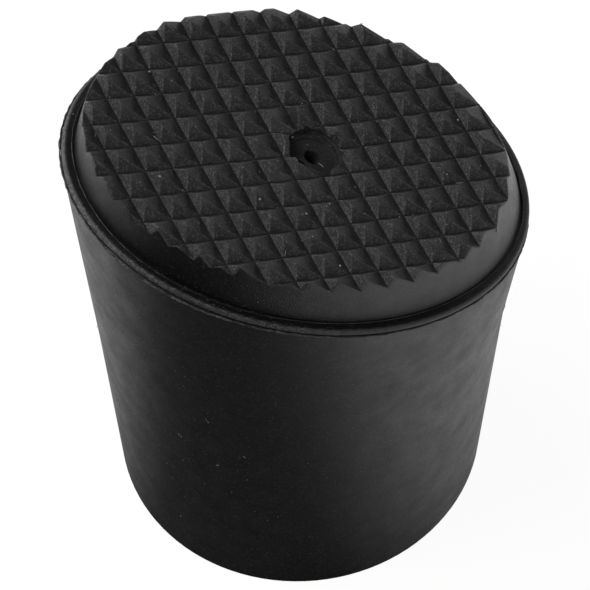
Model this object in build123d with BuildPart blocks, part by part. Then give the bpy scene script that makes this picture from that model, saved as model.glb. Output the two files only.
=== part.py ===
# Push-on foot for the splayed leg of a piece of equipment, moulded in one piece.
# A round socket takes the end of a tube, and the sole is cut off at an angle, so that
# it lies flat on the ground while the leg leans. The foot is modelled standing on its
# open mouth with the sole upwards. The origin is the centre of the mouth, on the axis
# of the socket, and the sole falls towards +X. Sizes are in millimetres.
import math
import os

from build123d import *

# The socket
socket_radius = 12.5  # a 25 mm tube pushes in
socket_depth = 28.0  # from the mouth to the flat floor that the tube stands on
socket_floor_chamfer = 0.5

# The skirt round the socket: how far it stands outside the socket's wall
mouth_wall = 3.0
shoulder_wall_along = 4.65  # at the shoulder, down the slope
shoulder_wall_across = 3.5
shoulder_height = 21.0  # above the shoulder the wall flares out towards the rim
shoulder_offset = 0.9  # centre of the shoulder, downhill of the socket's axis
skirt_bands = 2  # bands of the wall from the mouth to the shoulder
flare_bands = 3  # and from the shoulder to the rim

# The rim of the sole
rim_wall_along = 8.0  # outside the socket's wall, in the plane of the sole
rim_wall_across = 3.85
lip_height = 0.4  # from the mould's parting line to the ledge
lip_rounding = 0.35  # how far the lip draws in as it rounds over to the ledge
lip_steps = 4
parting_gap = 0.15  # the parting line, a fine groove round the rim
parting_depth = 0.12

# The sole
sole_tilt = 24.0  # degrees from a plane square to the tube
sole_thickness = 9.95  # from the socket's floor to the sole's ledge, at the sole's centre
sole_offset = 1.55  # the sole's centre, downhill of the socket's axis

# The raised pad with its tread of studs
ledge_width = 0.95  # flat ledge left between the rim and the foot of the pad
pad_height = 3.05  # from the ledge to the valleys of the tread
pad_inset_along = 1.2  # how far the pad's wall draws in up to the ridges
pad_inset_across = 0.95
tread_pitch = 2.51  # from valley to valley, both ways
tread_depth = 1.02  # from a valley up to the ridge of a stud
tread_lean = 0.42  # how far each ridge leans uphill, as a share of the pitch
tread_side_depth = 1.27  # height at which a stud's two side flanks would meet
tread_shift = 0.28  # the rows' middle stands this far towards -Y

# The recess in the middle of the tread, with the gate that the plastic came through
recess_radius = 2.45
recess_offset = 0.2  # uphill of the sole's centre
recess_depth = 0.35  # below the valleys
recess_step_radius = 1.95
recess_step = 0.12
gate_radius = 0.65
gate_depth = 1.6

slope = math.radians(sole_tilt)
sole_height = socket_depth + sole_thickness
ridge_height = pad_height + tread_depth

mouth_radius = socket_radius + mouth_wall
shoulder_along = socket_radius + shoulder_wall_along
shoulder_across = socket_radius + shoulder_wall_across
rim_along = socket_radius + rim_wall_along
rim_across = socket_radius + rim_wall_across
pad_along = rim_along - ledge_width
pad_across = rim_across - ledge_width


def between(start, end, share):
    """A value that is a share of the way from start to end."""
    return start + (end - start) * share


def flare_outline(share):
    """Plane and radii of the flaring wall's outline, a share of the way from shoulder to rim.

    The wall runs straight between the two, so its outline tilts more the higher it is cut.
    """
    top = skirt_top_plane.origin
    run = between(shoulder_along, rim_along * math.cos(slope), share)
    drop = between(0, rim_along * math.sin(slope), share)
    tilt = math.atan2(drop, run)
    plane = Plane(
        origin=(between(shoulder_offset, top.X, share), 0, between(shoulder_height, top.Z, share)),
        x_dir=(math.cos(tilt), 0, -math.sin(tilt)),
        z_dir=(math.sin(tilt), 0, math.cos(tilt)),
    )
    return plane, math.hypot(run, drop), between(shoulder_across, rim_across, share)


def tread_cutter(reach, centre, depth, lean):
    """Outline of what a row of V cutters removes above the valleys, from -reach to reach.

    A valley lies at centre, a share of the pitch, and the rest follow at each pitch.
    """
    rows = math.ceil(reach / tread_pitch + centre)
    points = []
    for row in range(-rows, rows):
        valley = (row + centre) * tread_pitch
        points.append((valley, 0))
        points.append((valley + (0.5 - lean) * tread_pitch, depth))
    points.append(((rows + centre) * tread_pitch, 0))
    points.append(((rows + centre) * tread_pitch, 2 * depth))
    points.append(((centre - rows) * tread_pitch, 2 * depth))
    return points


# X of the ledge plane runs down the slope of the sole, and Z out of the sole
ledge_plane = Plane(
    origin=(sole_offset, 0, sole_height),
    x_dir=(math.cos(slope), 0, -math.sin(slope)),
    z_dir=(math.sin(slope), 0, math.cos(slope)),
)
parting_plane = ledge_plane.offset(-lip_height)
skirt_top_plane = parting_plane.offset(-parting_gap)
recess_plane = Plane(
    origin=ledge_plane.offset(ridge_height).origin - ledge_plane.x_dir * recess_offset,
    x_dir=ledge_plane.x_dir,
    z_dir=ledge_plane.z_dir,
)
pad_top_plane = Plane(
    origin=(sole_offset, 0, sole_height + ridge_height / math.cos(slope)),
    x_dir=ledge_plane.x_dir,
    z_dir=ledge_plane.z_dir,
)

# The tread's two outlines stand on the valleys, one along the slope and one across it
tread_origin = pad_top_plane.offset(-tread_depth).origin - ledge_plane.y_dir * tread_shift
along_plane = Plane(tread_origin, x_dir=ledge_plane.x_dir, z_dir=-ledge_plane.y_dir)
across_plane = Plane(tread_origin, x_dir=ledge_plane.y_dir, z_dir=ledge_plane.x_dir)

with BuildPart() as foot:
    # Skirt: slim up to the shoulder, then flaring to the oval rim of the tilted sole
    with BuildSketch():
        Circle(mouth_radius)
    for band in range(1, skirt_bands + 1):
        share = band / skirt_bands
        with BuildSketch(Plane((shoulder_offset * share, 0, shoulder_height * share))):
            Ellipse(
                between(mouth_radius, shoulder_along, share),
                between(mouth_radius, shoulder_across, share),
            )
    for band in range(1, flare_bands + 1):
        plane, along, across = flare_outline(band / flare_bands)
        with BuildSketch(plane):
            Ellipse(along, across)
    loft(ruled=True)

    # Parting line of the mould
    with BuildSketch(skirt_top_plane):
        Ellipse(rim_along - parting_depth, rim_across - parting_depth)
    extrude(amount=parting_gap)

    # Lip, rounding over from the parting line to the ledge
    for step in range(lip_steps + 1):
        turn = math.radians(90 * step / lip_steps)
        inset = lip_rounding * (1 - math.cos(turn))
        with BuildSketch(parting_plane.offset(lip_height * math.sin(turn))):
            Ellipse(rim_along - inset, rim_across - inset)
    loft(ruled=True)

    # Raised pad, its walls drawn in and following the tube's axis
    with BuildSketch(ledge_plane):
        Ellipse(pad_along, pad_across)
    with BuildSketch(pad_top_plane):
        Ellipse(pad_along - pad_inset_along, pad_across - pad_inset_across)
    loft(ruled=True)

    # Tread: two crossed sets of V cuts leave studs that lean uphill
    with BuildSketch(along_plane):
        with BuildLine():
            Polyline(*tread_cutter(pad_along, 0.5, tread_depth, tread_lean), close=True)
        make_face()
    extrude(amount=rim_across, both=True, mode=Mode.SUBTRACT)
    with BuildSketch(across_plane):
        with BuildLine():
            Polyline(*tread_cutter(pad_across, 0, tread_side_depth, 0), close=True)
        make_face()
    extrude(amount=pad_along, both=True, mode=Mode.SUBTRACT)

    # Recess with a stepped floor, and the blind gate hole in its middle
    floor_depth = tread_depth + recess_depth
    step_depth = floor_depth + recess_step
    with Locations(recess_plane):
        CounterBoreHole(recess_step_radius, recess_radius, floor_depth, step_depth)
        Hole(gate_radius, step_depth + gate_depth)

    # Socket for the tube
    with BuildSketch():
        Circle(socket_radius)
    extrude(amount=socket_depth, mode=Mode.SUBTRACT)
    socket_floor = foot.faces().filter_by(GeomType.PLANE).filter_by(Axis.Z).sort_by(Axis.Z)[-1]
    chamfer(socket_floor.edges(), socket_floor_chamfer)

os.makedirs("parts", exist_ok=True)
foot.part.label = "foot"
export_step(foot.part, "parts/foot.step")
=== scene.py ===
# %% [markdown]
# # A push-on foot for a splayed tube leg
# The real foot is one moulding of matt black plastic. It pushes onto the end of a 25 mm tube,
# and its tilted sole stands on the ground by a tread of small leaning studs. Here it lies as it
# comes out of the box, open end down and tread up, on a white sheet under soft lamps. The exact
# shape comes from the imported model. This script softens its edges, sinks its tread a little,
# moves the recess in it by a third of a millimetre, adds the flash and dust of real life, and
# gives it its finish.

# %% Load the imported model
import math
import random

import bpy
from mathutils import Matrix, Vector


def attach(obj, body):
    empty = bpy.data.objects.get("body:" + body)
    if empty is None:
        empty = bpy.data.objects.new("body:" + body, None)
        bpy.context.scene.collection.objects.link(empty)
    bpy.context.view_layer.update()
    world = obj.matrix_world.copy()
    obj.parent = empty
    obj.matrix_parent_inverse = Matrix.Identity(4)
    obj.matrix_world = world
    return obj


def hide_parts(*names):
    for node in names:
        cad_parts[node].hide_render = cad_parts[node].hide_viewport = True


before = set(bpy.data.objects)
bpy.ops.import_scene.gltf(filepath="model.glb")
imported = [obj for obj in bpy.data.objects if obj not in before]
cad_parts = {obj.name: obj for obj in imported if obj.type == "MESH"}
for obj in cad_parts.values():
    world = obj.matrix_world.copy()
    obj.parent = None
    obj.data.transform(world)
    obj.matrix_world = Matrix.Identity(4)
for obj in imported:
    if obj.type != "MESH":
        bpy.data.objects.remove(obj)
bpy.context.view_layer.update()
plain_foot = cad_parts["foot"]

# %% [markdown]
# Every length below is written in millimetres, as on the drawing of the foot, and turned into
# metres by one factor. The sole has axes of its own: u runs down its slope, v across it and n out
# of it, with n = 0 on the narrow ledge that the tread's pad rises from.

# %% Units and the axes of the sole
mm = 0.001
sole_tilt = math.radians(24.0)
sole_centre = Vector((1.55, 0.0, 37.95)) * mm
rim_along = 20.5 * mm
rim_across = 16.35 * mm
pad_along = 19.55 * mm
pad_across = 15.4 * mm
pad_height = 3.05 * mm
tread_depth = 1.02 * mm
ridge_height = pad_height + tread_depth
pad_inset_along = 1.2 * mm
pad_inset_across = 0.95 * mm

sole_u = Vector((math.cos(sole_tilt), 0.0, -math.sin(sole_tilt)))
sole_v = Vector((0.0, 1.0, 0.0))
sole_n = Vector((math.sin(sole_tilt), 0.0, math.cos(sole_tilt)))


def on_sole(place):
    """A point's u, v and n on the axes of the sole."""
    offset = place - sole_centre
    return offset.dot(sole_u), offset.dot(sole_v), offset.dot(sole_n)


def from_sole(u, v, n):
    """The point at u, v and n on the axes of the sole."""
    return sole_centre + sole_u * u + sole_v * v + sole_n * n


def pad_reach(u, v, n):
    """How far out on the pad a point stands: 0 on its middle line and 1 at its wall.

    The pad's wall follows the tube, so its middle moves uphill as it rises from the ledge.
    """
    rise = n / ridge_height
    along = (u + n * math.tan(sole_tilt)) / (pad_along - pad_inset_along * rise)
    across = v / (pad_across - pad_inset_across * rise)
    return math.hypot(along, across)


uphill_corner = pad_inset_along - pad_along - ridge_height * math.tan(sole_tilt)
print("reach at the pad's uphill corner:", round(pad_reach(uphill_corner, 0, ridge_height), 3))

# %% [markdown]
# An operator works on everything that is selected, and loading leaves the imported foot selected.
# So each piece starts by clearing the selection, and two helpers do the choosing of faces and
# edges in code, by where they lie.


# %% Helpers for choosing
def only(piece):
    """Make piece the one selected and active object."""
    if bpy.context.mode != "OBJECT":
        bpy.ops.object.mode_set(mode="OBJECT")
    bpy.ops.object.select_all(action="DESELECT")
    piece.select_set(True)
    bpy.context.view_layer.objects.active = piece


def choose(piece, kind, wanted):
    """Select the faces, edges or vertices of piece for which wanted(element) is true."""
    bpy.ops.object.mode_set(mode="EDIT")
    bpy.ops.mesh.select_mode(type=kind)
    bpy.ops.mesh.select_all(action="DESELECT")
    bpy.ops.object.mode_set(mode="OBJECT")
    elements = {
        "FACE": piece.data.polygons,
        "EDGE": piece.data.edges,
        "VERT": piece.data.vertices,
    }[kind]
    chosen = 0
    for element in elements:
        element.select = bool(wanted(element))
        chosen += element.select
    bpy.ops.object.mode_set(mode="EDIT")
    return chosen


def new_piece(name, mesh):
    """A mesh object at the origin, alone in the selection."""
    piece = bpy.data.objects.new(name, mesh)
    bpy.context.scene.collection.objects.link(piece)
    only(piece)
    return piece


# %% [markdown]
# ## The moulding
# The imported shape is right, but each of its edges is a perfect corner, and plastic never fills
# a corner of the mould so sharply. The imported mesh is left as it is: the moulding is a copy of it,
# with its loose triangles merged into one skin. Triangles that lie in one plane are joined again,
# so that each facet of a stud is one face with clean edges to bevel.

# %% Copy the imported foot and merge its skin
merge_distance = 0.001 * mm
flat_normal = 0.98
tread_reach = 0.999
a_hair = 0.02 * mm
moulding = new_piece("moulding", plain_foot.data.copy())
bpy.ops.object.mode_set(mode="EDIT")
bpy.ops.mesh.select_all(action="SELECT")
bpy.ops.mesh.remove_doubles(threshold=merge_distance)
bpy.ops.mesh.customdata_custom_splitnormals_clear()


def in_tread(face):
    """True for the facets of the studs, which are above the valleys and slant to the sole."""
    u, v, n = on_sole(face.center)
    slanting = face.normal.dot(sole_n) < flat_normal
    return slanting and n > pad_height - a_hair and pad_reach(u, v, n) < tread_reach


same_plane = math.radians(0.5)
facets = choose(moulding, "FACE", in_tread)
bpy.ops.mesh.dissolve_limited(angle_limit=same_plane)
bpy.ops.object.mode_set(mode="OBJECT")
print("tread triangles joined:", facets, "- faces now", len(moulding.data.polygons))

# %% [markdown]
# Thick plastic shrinks as it cools, and it pulls the middle of the tread in by almost half a
# millimetre: a sink mark. The tread is lowered by a Displace modifier, whose vertex group is full
# in the middle and fades to nothing at the pad's edge. The group has then done its work.

# %% Sink the middle of the tread
sink_depth = 0.41 * mm
sink_from = 0.3 * mm
sink = moulding.vertex_groups.new(name="sink")
for vertex in moulding.data.vertices:
    u, v, n = on_sole(vertex.co)
    reach = pad_reach(u, v, n)
    if n > sink_from and reach < 1:
        sink.add([vertex.index], 1 - reach**2, "REPLACE")
shrink = moulding.modifiers.new("shrink", "DISPLACE")
shrink.direction = "Z"
shrink.mid_level = 0.0
shrink.strength = -sink_depth / math.cos(sole_tilt)
shrink.vertex_group = "sink"
bpy.ops.object.modifier_apply(modifier="shrink")
moulding.vertex_groups.clear()
print("tread sunk by", sink_depth / mm, "mm in the middle")

# %% [markdown]
# The gate, where the plastic was shot in, is hand fitted in the mould, and its recess sits a
# third of a millimetre nearer the front than the rows of studs. The points of the recess and its
# hole are moved there together. Where the plastic was torn off, the hole is a little wider.

# %% Move the recess and widen its hole
recess_radius = 2.45 * mm
step_radius = 1.95 * mm
step_depth = 0.47 * mm
gate_radius = 0.65 * mm
recess_u = -0.2 * mm
move_u = 0.05 * mm
move_v = -0.35 * mm
gate_widening = 1.22
point_slack = 0.03 * mm


def from_gate(u, v):
    """How far a place on the sole is from the middle of the recess, before it is moved."""
    return math.hypot(u - recess_u, v)


def in_recess(vertex):
    """True for the points on and inside the rim of the recess."""
    u, v, n = on_sole(vertex.co)
    return n > 0 and from_gate(u, v) < recess_radius + point_slack


def in_gate(vertex):
    """True for the points of the gate hole."""
    u, v, n = on_sole(vertex.co)
    return 0 < n < pad_height and from_gate(u, v) < gate_radius + point_slack


gate_points = choose(moulding, "VERT", in_gate)
gate_mouth = from_sole(recess_u, 0, pad_height - step_depth - sink_depth)
bpy.ops.transform.resize(value=(gate_widening,) * 3, center_override=gate_mouth)
bpy.ops.object.mode_set(mode="OBJECT")
rim_points = choose(moulding, "VERT", in_recess)
bpy.ops.transform.translate(value=sole_u * move_u + sole_v * move_v)
bpy.ops.object.mode_set(mode="OBJECT")
print("recess points moved:", rim_points, "and hole points spread:", gate_points)

# %% [markdown]
# Each face gets a slot by where it lies, and the slots are filled with finishes further down:
# plain walls, the two kinds of stud facets, the floor of the recess, the pad's wall with the
# ledge, and the rounded lip.

# %% Slots for the finishes
slot_count = 8
plain_slot, tread_slot, steep_slot, ridge_slot = range(4)
valley_slot, wall_slot, lip_slot, dish_slot = range(4, slot_count)
steep_normal = -0.5
recess_from = 1 * mm
wall_reach = 0.97
lip_bottom = -0.42 * mm
lip_top = -0.08 * mm


def slot_for(face):
    """The slot of a face, from its place on the sole."""
    u, v, n = on_sole(face.center)
    reach = pad_reach(u, v, n)
    if in_tread(face):
        return steep_slot if face.normal.dot(sole_u) < steep_normal else tread_slot
    if n > recess_from and from_gate(u - move_u, v - move_v) < recess_radius - a_hair:
        return dish_slot
    if n > -a_hair and reach > wall_reach:
        return wall_slot
    if lip_bottom < n < lip_top and reach > 1:
        return lip_slot
    return plain_slot


moulding.data.materials.clear()
for _ in range(slot_count):
    moulding.data.materials.append(None)
for face in moulding.data.polygons:
    face.material_index = slot_for(face)
slots_used = [face.material_index for face in moulding.data.polygons]
print("faces by slot:", [slots_used.count(slot) for slot in range(slot_count)])

# %% [markdown]
# The studs' corners are rounded by a small bevel, wide on the ridges, where the plastic didn't
# fill the mould, and narrow in the valleys. The new faces go to slots of their own. Whether an
# edge is a ridge is told from its two faces: on a ridge each face lies behind the other's plane.

# %% Round the studs
ridge_round = 0.10 * mm
valley_round = 0.04 * mm
least_ridge = 12
least_valley = 25
top_from = 2.2 * mm
top_reach = 1.02
sharp_recess = step_radius + 0.2 * mm


def edge_folds(piece):
    """How far the skin folds at each edge, in radians: above 0 on a ridge, below 0 in a valley."""
    sides = {}
    for face in piece.data.polygons:
        for key in face.edge_keys:
            sides.setdefault(key, []).append((face.normal.copy(), face.center.copy()))
    folds = {}
    for key, pair in sides.items():
        if len(pair) == 2:
            (normal, centre), (other_normal, other_centre) = pair
            fold = normal.angle(other_normal, 0.0)
            folds[key] = fold if (other_centre - centre).dot(normal) < 0 else -fold
    return folds


def on_pad_top(piece, lowest_fold, highest_fold):
    """A test for edges on the pad's top, outside the recess, with a fold between two angles."""
    folds = edge_folds(piece)
    places = [vertex.co.copy() for vertex in piece.data.vertices]

    def test(edge):
        u, v, n = on_sole((places[edge.vertices[0]] + places[edge.vertices[1]]) / 2)
        fold = math.degrees(folds.get((min(edge.vertices), max(edge.vertices)), 0.0))
        if from_gate(u - move_u, v - move_v) < sharp_recess:
            return False
        on_top = n > top_from and pad_reach(u, v, n) < top_reach
        return on_top and lowest_fold < fold < highest_fold

    return test


ridges = choose(moulding, "EDGE", on_pad_top(moulding, least_ridge, 180))
bpy.ops.mesh.bevel(
    offset=ridge_round, segments=2, profile=0.5, clamp_overlap=False, material=ridge_slot
)
bpy.ops.object.mode_set(mode="OBJECT")
valleys = choose(moulding, "EDGE", on_pad_top(moulding, -180, -least_valley))
bpy.ops.mesh.bevel(
    offset=valley_round, segments=1, profile=0.5, clamp_overlap=False, material=valley_slot
)
bpy.ops.object.mode_set(mode="OBJECT")
print("ridges rounded:", ridges, "valleys:", valleys)
print("faces now:", len(moulding.data.polygons))

# %% [markdown]
# The round walls are shaded smooth up to the corners. Weighted normals let the large facets keep
# their flat look beside the narrow bevels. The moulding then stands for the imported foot.

# %% Smooth the round walls
only(moulding)
corner_angle = math.radians(38)
bpy.ops.object.shade_smooth_by_angle(angle=corner_angle)
even = moulding.modifiers.new("even", "WEIGHTED_NORMAL")
even.mode = "FACE_AREA"
even.keep_sharp = True
bpy.ops.object.modifier_apply(modifier="even")
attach(moulding, "root")
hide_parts("foot")

# %% [markdown]
# ## Flash and bead
# Two halves of a mould never meet quite true. Where one stands a hair proud of the other, plastic
# creeps into the step and leaves a ragged edge, the flash. On this foot it shows under the lip on
# the uphill front. It is modelled as a thin ring that stands a little off centre, so that it
# comes out of the wall on that side and stays buried in it on the other. Each ring is drawn flat
# at the origin, in the axes of the sole, and then laid on the sole.

# %% A ring laid on the sole
ring_steps = 90
ring_angle = math.radians(50)
sole_place = Matrix((sole_u, sole_v, sole_n)).transposed().to_4x4()
sole_place.translation = sole_centre


def lay_on_sole(piece):
    """Turn a piece drawn flat at the origin onto the sole, and put its place in its mesh."""
    only(piece)
    piece.matrix_world = sole_place @ piece.matrix_world
    bpy.ops.object.transform_apply(location=True, rotation=True, scale=True)


def oval_ring(name, along, across, shift, rise, thickness, raggedness, seed):
    """A thin oval ring round the sole: a circle, stretched, given a thickness and made rough."""
    if bpy.context.mode != "OBJECT":
        bpy.ops.object.mode_set(mode="OBJECT")
    bpy.ops.object.select_all(action="DESELECT")
    bpy.ops.curve.primitive_bezier_circle_add(radius=1)
    ring = bpy.context.active_object
    ring.name = name
    bpy.ops.object.mode_set(mode="EDIT")
    bpy.ops.curve.select_all(action="SELECT")
    bpy.ops.transform.resize(value=(along, across, 1))
    bpy.ops.transform.translate(value=(shift[0], shift[1], rise))
    bpy.ops.object.mode_set(mode="OBJECT")
    ring.data.resolution_u = ring_steps
    ring.data.bevel_depth = thickness / 2
    ring.data.bevel_resolution = 1
    bpy.ops.object.convert(target="MESH")
    ring = bpy.context.active_object
    bpy.ops.object.mode_set(mode="EDIT")
    bpy.ops.mesh.select_all(action="SELECT")
    bpy.ops.mesh.remove_doubles(threshold=merge_distance)
    bpy.ops.transform.vertex_random(offset=raggedness, seed=seed)
    bpy.ops.mesh.normals_make_consistent(inside=False)
    bpy.ops.object.mode_set(mode="OBJECT")
    lay_on_sole(ring)
    bpy.ops.object.shade_smooth_by_angle(angle=ring_angle)
    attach(ring, "root")
    print(name, "has", len(ring.data.polygons), "faces")
    return ring


# %% The flash under the lip, and the bead round the pad
flash_buried = 0.08 * mm
flash_step = -0.07 * mm
flash = oval_ring(
    "flash",
    along=rim_along - flash_buried,
    across=rim_across - flash_buried,
    shift=(flash_step, flash_step),
    rise=-0.62 * mm,
    thickness=0.17 * mm,
    raggedness=0.06 * mm,
    seed=5,
)
bead_out = 0.1 * mm
bead = oval_ring(
    "pad_bead",
    along=pad_along + bead_out,
    across=pad_across + bead_out,
    shift=(0, 0),
    rise=0.02 * mm,
    thickness=0.09 * mm,
    raggedness=0.012 * mm,
    seed=8,
)

# %% [markdown]
# ## Dust and lint
# Black plastic shows every speck. Dust is modelled once, as a lumpy grain, and copied to places
# on the tread and the wall; lint is a short bent thread. A ray from outside finds the skin at each
# place, so that a speck lies on it. The larger ones have chosen places, the rest are scattered
# with a fixed seed.

# %% Find the skin
above_tread = 8 * mm
outside_wall = 40 * mm


def skin_on_sole(u, v):
    """The point and normal of the skin under u and v on the sole."""
    hit, spot, normal, _ = moulding.ray_cast(from_sole(u, v, above_tread), -sole_n)
    return (spot, normal) if hit else None


def skin_on_wall(around, height):
    """The point and normal of the skin at a turn round the socket's axis and a height."""
    way = Vector((math.cos(around), math.sin(around), 0))
    start = way * outside_wall + Vector((0, 0, height))
    hit, spot, normal, _ = moulding.ray_cast(start, -way)
    return (spot, normal) if hit else None


# %% One grain of dust and one thread of lint
grain_lumps = 0.25
grain_shape = (1, 0.8, 0.6)
thread_radius = 0.07
thread_merge = 0.001
bpy.ops.object.select_all(action="DESELECT")
bpy.ops.mesh.primitive_ico_sphere_add(subdivisions=1, radius=1)
grain = bpy.context.active_object
bpy.ops.object.mode_set(mode="EDIT")
bpy.ops.mesh.select_all(action="SELECT")
bpy.ops.transform.vertex_random(offset=grain_lumps, seed=3)
bpy.ops.transform.resize(value=grain_shape)
bpy.ops.object.mode_set(mode="OBJECT")

bpy.ops.object.select_all(action="DESELECT")
bpy.ops.curve.primitive_bezier_curve_add(radius=1)
thread = bpy.context.active_object
thread.data.resolution_u = 6
thread.data.bevel_depth = thread_radius
thread.data.bevel_resolution = 0
thread.data.use_fill_caps = True
bpy.ops.object.convert(target="MESH")
thread = bpy.context.active_object
bpy.ops.object.mode_set(mode="EDIT")
bpy.ops.mesh.select_all(action="SELECT")
bpy.ops.mesh.remove_doubles(threshold=thread_merge)
bpy.ops.mesh.normals_make_consistent(inside=False)
bpy.ops.object.mode_set(mode="OBJECT")
print("grain:", len(grain.data.polygons), "faces, thread:", len(thread.data.polygons), "faces")

# %% Copies of a pattern, at places on the tread and the wall
scatter = random.Random(24)
lift_share = 0.2


def sprinkle(name, pattern, spots):
    """Copies of pattern at spots, each a point with its normal and a size, joined into one."""
    bpy.ops.object.select_all(action="DESELECT")
    copies = []
    for found, size in spots:
        if found is None:
            continue
        spot, normal = found
        copy = bpy.data.objects.new(name, pattern.data.copy())
        bpy.context.scene.collection.objects.link(copy)
        turn = Matrix.Rotation(scatter.uniform(0, math.tau), 4, "Z")
        lean = normal.to_track_quat("Z", "Y").to_matrix().to_4x4()
        lift = Matrix.Translation(spot + normal * size * lift_share)
        copy.matrix_world = lift @ lean @ turn @ Matrix.Scale(size, 4)
        copy.select_set(True)
        copies.append(copy)
    bpy.context.view_layer.objects.active = copies[0]
    bpy.ops.object.join()
    piece = bpy.context.active_object
    piece.name = name
    bpy.ops.object.transform_apply(location=True, rotation=True, scale=True)
    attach(piece, "root")
    print(name, "has", len(copies), "copies and", len(piece.data.polygons), "faces")
    return piece


def drawn(span):
    """A random length between the two of a span, which are in millimetres."""
    return scatter.uniform(*span) * mm


def chosen_spots(places, sizes):
    """Spots at places on the sole, given in millimetres."""
    return [(skin_on_sole(u * mm, v * mm), drawn(sizes)) for u, v in places]


def sole_spots(number, sizes):
    """Spots scattered over the sole, inside the rim."""
    spots = []
    for _ in range(number):
        u = scatter.uniform(-rim_along, rim_along)
        v = scatter.uniform(-rim_across, rim_across)
        if math.hypot(u / rim_along, v / rim_across) < inside_rim:
            spots.append((skin_on_sole(u, v), drawn(sizes)))
    return spots


def wall_spots(number, heights, sizes):
    """Spots scattered over the outer wall, between two heights."""
    spots = []
    for _ in range(number):
        around = scatter.uniform(0, math.tau)
        height = drawn(heights)
        spots.append((skin_on_wall(around, height), drawn(sizes)))
    return spots


# %% The dust and the lint
inside_rim = 0.98
large_dust = [
    (-7.5, -4.7), (-4.2, -6.7), (-5.1, -9.3), (-0.9, 1.8), (-1.7, -6.0), (-3.8, -12.1),
    (1.3, 4.7), (14.2, 0.9), (10.0, -4.7), (-10.7, 9.5), (-15.3, -1.7),
]
large_lint = [(0.3, -1.3), (10.9, -5.6), (6.0, -11.1), (-7.8, -10.1), (-13.2, 2.8), (-18.3, 3.7)]
dust_spots = chosen_spots(large_dust, sizes=(0.08, 0.13))
dust_spots += sole_spots(200, sizes=(0.02, 0.06))
dust_spots += wall_spots(260, heights=(2, 34), sizes=(0.02, 0.05))
lint_spots = chosen_spots(large_lint, sizes=(0.18, 0.32))
lint_spots += wall_spots(16, heights=(4, 26), sizes=(0.15, 0.28))
dust = sprinkle("dust", grain, dust_spots)
lint = sprinkle("lint", thread, lint_spots)
bpy.data.objects.remove(grain)
bpy.data.objects.remove(thread)

# %% [markdown]
# ## The finish
# The plastic is a very dark grey. The mould's walls were polished fine, so the tube is smooth
# with a faint unevenness; the pad and the steep sides of the studs were spark eroded, which leaves
# a coarse sparkling grain. Both are the same plastic, so the grain is one node group with its
# own size and contrast in each material.


# %% Shader helpers
def add(tree, kind, **settings):
    """A new node in tree, with its properties set by name."""
    node = tree.nodes.new(kind)
    for name, value in settings.items():
        setattr(node, name, value)
    return node


def link(tree, source, target):
    """Join the output socket source to the input socket target."""
    tree.links.new(source, target)


def socket(group, name, direction, kind="NodeSocketFloat", value=None):
    """A named input or output on a node group."""
    made = group.interface.new_socket(name=name, in_out=direction, socket_type=kind)
    if value is not None:
        made.default_value = value
    return made


def new_material(name):
    """An empty node material with its output, and its Principled shader joined to it."""
    material = bpy.data.materials.new(name)
    material.use_nodes = True
    tree = material.node_tree
    tree.nodes.clear()
    output = add(tree, "ShaderNodeOutputMaterial")
    shader = add(tree, "ShaderNodeBsdfPrincipled")
    link(tree, shader.outputs["BSDF"], output.inputs["Surface"])
    return material, tree, shader


def ramp_along(tree, azimuth, start, end, low, high):
    """A value that goes from low to high between two distances along a level direction."""
    coordinates = add(tree, "ShaderNodeTexCoord")
    along = add(tree, "ShaderNodeVectorMath", operation="DOT_PRODUCT")
    turn = math.radians(azimuth)
    along.inputs[1].default_value = (math.cos(turn), math.sin(turn), 0)
    link(tree, coordinates.outputs["Object"], along.inputs[0])
    slope = add(tree, "ShaderNodeMapRange", interpolation_type="SMOOTHSTEP")
    slope.inputs["From Min"].default_value = start
    slope.inputs["From Max"].default_value = end
    slope.inputs["To Min"].default_value = low
    slope.inputs["To Max"].default_value = high
    link(tree, along.outputs["Value"], slope.inputs["Value"])
    return slope.outputs["Result"]


def brighter_of(tree, one, other):
    """The larger of two values."""
    larger = add(tree, "ShaderNodeMath", operation="MAXIMUM")
    link(tree, one, larger.inputs[0])
    link(tree, other, larger.inputs[1])
    return larger.outputs[0]


def product_of(tree, one, other):
    """Two values multiplied."""
    product = add(tree, "ShaderNodeMath", operation="MULTIPLY")
    link(tree, one, product.inputs[0])
    link(tree, other, product.inputs[1])
    return product.outputs[0]


# %% [markdown]
# The skin group gives three things: a fine height for bumps, a slow mottle, as of plastic that
# cooled unevenly, and a speckle of small bright points, where the grain catches the light.

# %% The moulded skin, a node group
skin = bpy.data.node_groups.new("moulded_skin", "ShaderNodeTree")
socket(skin, "Grain Size", "INPUT", value=0.0001)
socket(skin, "Mottle Size", "INPUT", value=0.002)
socket(skin, "Speckle Share", "INPUT", value=0.5)
for name in ("Height", "Mottle", "Speckle"):
    socket(skin, name, "OUTPUT")
entry = add(skin, "NodeGroupInput")
leave = add(skin, "NodeGroupOutput")
coordinates = add(skin, "ShaderNodeTexCoord")


def sized(size):
    """Object coordinates divided by a size, so that one unit of noise is that long."""
    inverse = add(skin, "ShaderNodeMath", operation="DIVIDE")
    inverse.inputs[0].default_value = 1
    link(skin, size, inverse.inputs[1])
    scaled = add(skin, "ShaderNodeVectorMath", operation="SCALE")
    link(skin, coordinates.outputs["Object"], scaled.inputs[0])
    link(skin, inverse.outputs[0], scaled.inputs["Scale"])
    return scaled.outputs[0]


def noise(size, detail, roughness):
    """A noise whose lumps are about as long as the size."""
    lumps = add(skin, "ShaderNodeTexNoise")
    lumps.inputs["Scale"].default_value = 1
    lumps.inputs["Detail"].default_value = detail
    lumps.inputs["Roughness"].default_value = roughness
    link(skin, sized(size), lumps.inputs["Vector"])
    return lumps.outputs["Fac"]


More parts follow.
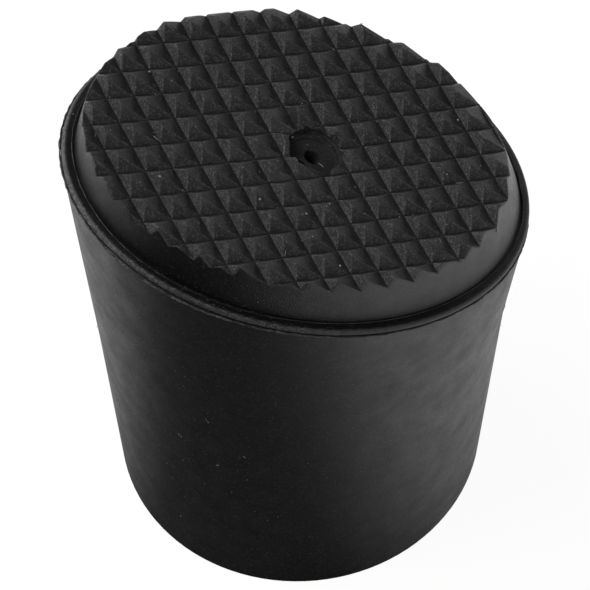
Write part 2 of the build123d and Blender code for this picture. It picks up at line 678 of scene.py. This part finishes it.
fine = noise(entry.outputs["Grain Size"], detail=3, roughness=0.65)
slow = noise(entry.outputs["Mottle Size"], detail=4, roughness=0.6)
spread = add(skin, "ShaderNodeMapRange")
spread.inputs["From Min"].default_value = 0.3
spread.inputs["From Max"].default_value = 0.7
link(skin, slow, spread.inputs["Value"])
cells = add(skin, "ShaderNodeTexVoronoi", feature="F1")
cells.inputs["Scale"].default_value = 1
link(skin, sized(entry.outputs["Grain Size"]), cells.inputs["Vector"])
lucky = add(skin, "ShaderNodeSeparateColor")
link(skin, cells.outputs["Color"], lucky.inputs["Color"])
rare = add(skin, "ShaderNodeMath", operation="LESS_THAN")
link(skin, lucky.outputs["Red"], rare.inputs[0])
link(skin, entry.outputs["Speckle Share"], rare.inputs[1])
link(skin, fine, leave.inputs["Height"])
link(skin, spread.outputs["Result"], leave.inputs["Mottle"])
speckle = product_of(skin, rare.outputs[0], lucky.outputs["Green"])
link(skin, speckle, leave.inputs["Speckle"])
print("moulded_skin has", len(skin.nodes), "nodes")

# %% [markdown]
# A finish is then a few numbers: two dark greys that the mottle mixes, a lighter grey for the
# speckle, the size in millimetres of the grain and of the mottle, the share of the grains that
# sparkle, how rough the skin is, and how deep the grain in millimetres. The greys are a trace
# blue. On the lip and the flash the paler grey and the speckle fade away from the uphill side,
# where the mould's step is: a painted highlight where the lip catches the light, over the real
# ragged flash.

# %% A black plastic finish
dark_blue = 1.03
pale_blue = 1.02
rough_spread = 0.07
painted_highlight_from = 3 * mm
painted_highlight_full = 17 * mm


def black_finish(
    name, *, dark, pale, speckle, grain, mottle, share, rough, depth, painted_highlight_side=None
):
    """A dark plastic: greys from dark to pale by the mottle, and lighter at the speckles.
    With a painted highlight side, an azimuth in degrees, both fade away from that side."""
    material, tree, shader = new_material(name)
    surface = add(tree, "ShaderNodeGroup")
    surface.node_tree = skin
    surface.inputs["Grain Size"].default_value = grain * mm
    surface.inputs["Mottle Size"].default_value = mottle * mm
    surface.inputs["Speckle Share"].default_value = share
    mix = add(tree, "ShaderNodeMix", data_type="RGBA")
    mix.inputs["A"].default_value = (dark, dark, dark * dark_blue, 1)
    mix.inputs["B"].default_value = (pale, pale, pale * pale_blue, 1)
    paleness = surface.outputs["Mottle"]
    points = surface.outputs["Speckle"]
    if painted_highlight_side is not None:
        # Towards that side the paler grey and the speckle are painted highlight.
        painted_highlight = ramp_along(tree, painted_highlight_side, painted_highlight_from, painted_highlight_full, 0, 1)
        paleness = product_of(tree, paleness, painted_highlight)
        points = product_of(tree, points, painted_highlight)
    link(tree, paleness, mix.inputs["Factor"])
    sparkle = add(tree, "ShaderNodeMix", data_type="RGBA")
    sparkle.inputs["B"].default_value = (speckle, speckle, speckle, 1)
    link(tree, mix.outputs["Result"], sparkle.inputs["A"])
    link(tree, points, sparkle.inputs["Factor"])
    link(tree, sparkle.outputs["Result"], shader.inputs["Base Color"])
    span = add(tree, "ShaderNodeMapRange")
    span.inputs["To Min"].default_value = rough + rough_spread
    span.inputs["To Max"].default_value = rough - rough_spread
    link(tree, surface.outputs["Mottle"], span.inputs["Value"])
    link(tree, span.outputs["Result"], shader.inputs["Roughness"])
    bump = add(tree, "ShaderNodeBump")
    bump.inputs["Strength"].default_value = 1.0
    bump.inputs["Distance"].default_value = depth * mm
    link(tree, surface.outputs["Height"], bump.inputs["Height"])
    link(tree, bump.outputs["Normal"], shader.inputs["Normal"])
    return material


smooth_plastic = black_finish(
    "smooth_plastic",
    dark=0.010, pale=0.021, speckle=0.08,
    grain=0.12, mottle=2.2, share=0.15,
    rough=0.5, depth=0.02,
)
tread_plastic = black_finish(
    "tread_plastic",
    dark=0.009, pale=0.018, speckle=0.07,
    grain=0.12, mottle=0.9, share=0.35,
    rough=0.52, depth=0.06,
)
steep_plastic = black_finish(
    "steep_plastic",
    dark=0.009, pale=0.021, speckle=0.11,
    grain=0.10, mottle=0.5, share=0.5,
    rough=0.5, depth=0.09,
)
# The rounded ridges take a paler grey: painted highlight along the tops of the studs.
ridge_painted_highlight = black_finish(
    "ridge_painted_highlight",
    dark=0.014, pale=0.035, speckle=0.11,
    grain=0.13, mottle=0.4, share=0.4,
    rough=0.48, depth=0.05,
)
# The valley bevels take a far darker grey: painted shade in the creases between the studs.
valley_painted_shade = black_finish(
    "valley_painted_shade",
    dark=0.004, pale=0.008, speckle=0.02,
    grain=0.12, mottle=0.9, share=0.1,
    rough=0.7, depth=0.01,
)
# The pad's wall and the ledge take a far darker grey than the same plastic elsewhere: painted shade
# in the corner between the pad and the lip.
wall_ledge_painted_shade = black_finish(
    "wall_ledge_painted_shade",
    dark=0.001, pale=0.006, speckle=0.045,
    grain=0.12, mottle=1.6, share=0.1,
    rough=0.38, depth=0.045,
)
dish_plastic = black_finish(
    "dish_plastic",
    dark=0.018, pale=0.032, speckle=0.06,
    grain=0.12, mottle=0.9, share=0.1,
    rough=0.42, depth=0.02,
)
# The lip and the flash: the flash is real, and its paler uphill front is painted highlight where the
# lip catches the light.
flash_and_highlight_plastic = black_finish(
    "flash_and_highlight_plastic",
    dark=0.007, pale=0.06, speckle=0.15,
    grain=0.09, mottle=0.5, share=0.5,
    rough=0.5, depth=0.05, painted_highlight_side=205,
)
for slot, finish in (
    (plain_slot, smooth_plastic),
    (tread_slot, tread_plastic),
    (steep_slot, steep_plastic),
    (ridge_slot, ridge_painted_highlight),
    (valley_slot, valley_painted_shade),
    (wall_slot, wall_ledge_painted_shade),
    (lip_slot, flash_and_highlight_plastic),
    (dish_slot, dish_plastic),
):
    moulding.data.materials[slot] = finish
flash.data.materials.append(flash_and_highlight_plastic)
bead.data.materials.append(smooth_plastic)

# %% A finish for dust and lint
loose_grain = 0.05 * mm
loose_mottle = 0.8 * mm
loose_depth = 0.01 * mm


def loose_finish(name, dark, pale):
    """A matt pale finish for what lies on the plastic."""
    material, tree, shader = new_material(name)
    surface = add(tree, "ShaderNodeGroup")
    surface.node_tree = skin
    surface.inputs["Grain Size"].default_value = loose_grain
    surface.inputs["Mottle Size"].default_value = loose_mottle
    mix = add(tree, "ShaderNodeMix", data_type="RGBA")
    mix.inputs["A"].default_value = (*dark, 1)
    mix.inputs["B"].default_value = (*pale, 1)
    link(tree, surface.outputs["Mottle"], mix.inputs["Factor"])
    link(tree, mix.outputs["Result"], shader.inputs["Base Color"])
    shader.inputs["Roughness"].default_value = 0.9
    bump = add(tree, "ShaderNodeBump")
    bump.inputs["Distance"].default_value = loose_depth
    link(tree, surface.outputs["Height"], bump.inputs["Height"])
    link(tree, bump.outputs["Normal"], shader.inputs["Normal"])
    return material


dust.data.materials.clear()
dust.data.materials.append(
    loose_finish("dust_grey", dark=(0.25, 0.25, 0.25), pale=(0.6, 0.6, 0.6))
)
lint.data.materials.clear()
lint.data.materials.append(
    loose_finish("lint_white", dark=(0.35, 0.35, 0.34), pale=(0.7, 0.7, 0.68))
)

# %% [markdown]
# ## The studio
# A white sheet for a floor, a world that is white for the camera and almost dark for the foot,
# and four soft lamps. The paper itself is a dark grey, so that it throws little light up on the
# foot. It glows white for the camera, and in reflections only to the right and behind: a painted
# reflection of the floor where more of the light falls. The ramps are given as an azimuth, two
# distances and two strengths.

# %% Floor
sheet_size = 3.0
sheet_drop = 0.02 * mm
right_ramp = (-21.5, 0, 30 * mm, 0.02, 1.02)
far_ramp = (90, -6 * mm, 18 * mm, 0, 0.9)


def white_stage(name, grey, camera_glow):
    """A grey paper that glows white for the camera, and on two sides a painted reflection for glossy
    rays.
    """
    paper, tree, shader = new_material(name)
    shader.inputs["Roughness"].default_value = 0.9
    shader.inputs["Base Color"].default_value = (grey, grey, grey, 1)
    # The glow for glossy rays on two sides is a painted reflection of a lit floor.
    sides = brighter_of(tree, ramp_along(tree, *right_ramp), ramp_along(tree, *far_ramp))
    path = add(tree, "ShaderNodeLightPath")
    painted_reflection = product_of(tree, path.outputs["Is Glossy Ray"], sides)
    seen = add(tree, "ShaderNodeValue")
    seen.outputs[0].default_value = camera_glow
    sight = product_of(tree, path.outputs["Is Camera Ray"], seen.outputs[0])
    shader.inputs["Emission Color"].default_value = (1, 1, 1, 1)
    link(tree, brighter_of(tree, sight, painted_reflection), shader.inputs["Emission Strength"])
    return paper


bpy.ops.object.select_all(action="DESELECT")
bpy.ops.mesh.primitive_plane_add(size=sheet_size, location=(0, 0, -sheet_drop))
floor = bpy.context.active_object
floor.name = "sheet"
floor.data.materials.append(white_stage("white_sheet", grey=0.08, camera_glow=0.95))

# %% Lamps
world = bpy.data.worlds.new("studio")
bpy.context.scene.world = world
world.use_nodes = True
tree = world.node_tree
background = tree.nodes["Background"]
background.inputs["Color"].default_value = (1, 1, 1, 1)
path = add(tree, "ShaderNodeLightPath")
ambient = 0.02
span = add(tree, "ShaderNodeMapRange")
span.inputs["To Min"].default_value = ambient
link(tree, path.outputs["Is Camera Ray"], span.inputs["Value"])
link(tree, span.outputs["Result"], background.inputs["Strength"])
lamp_distance = 0.9
lamp_size = 0.5
lamp_aim = Vector((0, 0, 0.02))


def lamp(name, azimuth, elevation, energy):
    """A square soft lamp aimed at the foot. Azimuth is counted from +X towards +Y, in degrees."""
    light = bpy.data.lights.new(name, "AREA")
    light.shape = "SQUARE"
    light.size = lamp_size
    light.energy = energy
    holder = bpy.data.objects.new(name, light)
    bpy.context.scene.collection.objects.link(holder)
    around = math.radians(azimuth)
    up = math.radians(elevation)
    way = Vector(
        (math.cos(around) * math.cos(up), math.sin(around) * math.cos(up), math.sin(up))
    )
    holder.location = lamp_aim + way * lamp_distance
    holder.rotation_euler = way.to_track_quat("Z", "Y").to_euler()
    return holder


lamp("left_lamp", azimuth=158.5, elevation=60, energy=4.4)
lamp("low_lamp", azimuth=113, elevation=10, energy=3.0)
lamp("back_lamp", azimuth=113, elevation=45, energy=1.5)
lamp("front_lamp", azimuth=-55, elevation=22, energy=1.4)

# %% [markdown]
# ## The camera
# It looks down at 57 degrees from the uphill side of the front, rolled a little.

# %% Camera
sensor_width = 36.0
frame_width = 590
focal_length = 4423.584
look_at = Vector((0, 0, 20.85)) * mm
camera_distance = 365.6 * mm
camera_turn = math.radians(21.453)
camera_elevation = math.radians(57.413)
camera_roll = math.radians(3.883)
picture_offset = 3.447

right = Vector((math.cos(camera_turn), -math.sin(camera_turn), 0))
away = Vector(
    (
        -math.sin(camera_turn) * math.cos(camera_elevation),
        -math.cos(camera_turn) * math.cos(camera_elevation),
        math.sin(camera_elevation),
    )
)
up = away.cross(right)
rolled_right = right * math.cos(camera_roll) - up * math.sin(camera_roll)
rolled_up = right * math.sin(camera_roll) + up * math.cos(camera_roll)
camera_data = bpy.data.cameras.new("camera")
camera_data.sensor_width = sensor_width
camera_data.lens = sensor_width * focal_length / frame_width
camera_data.shift_x = picture_offset / frame_width
camera_data.clip_start = 0.01
camera = bpy.data.objects.new("camera", camera_data)
bpy.context.scene.collection.objects.link(camera)
camera_place = Matrix((rolled_right, rolled_up, away)).transposed().to_4x4()
camera_place.translation = look_at + away * camera_distance
camera.matrix_world = camera_place
bpy.context.scene.camera = camera

# %% Colour as written
bpy.context.scene.view_settings.view_transform = "Standard"
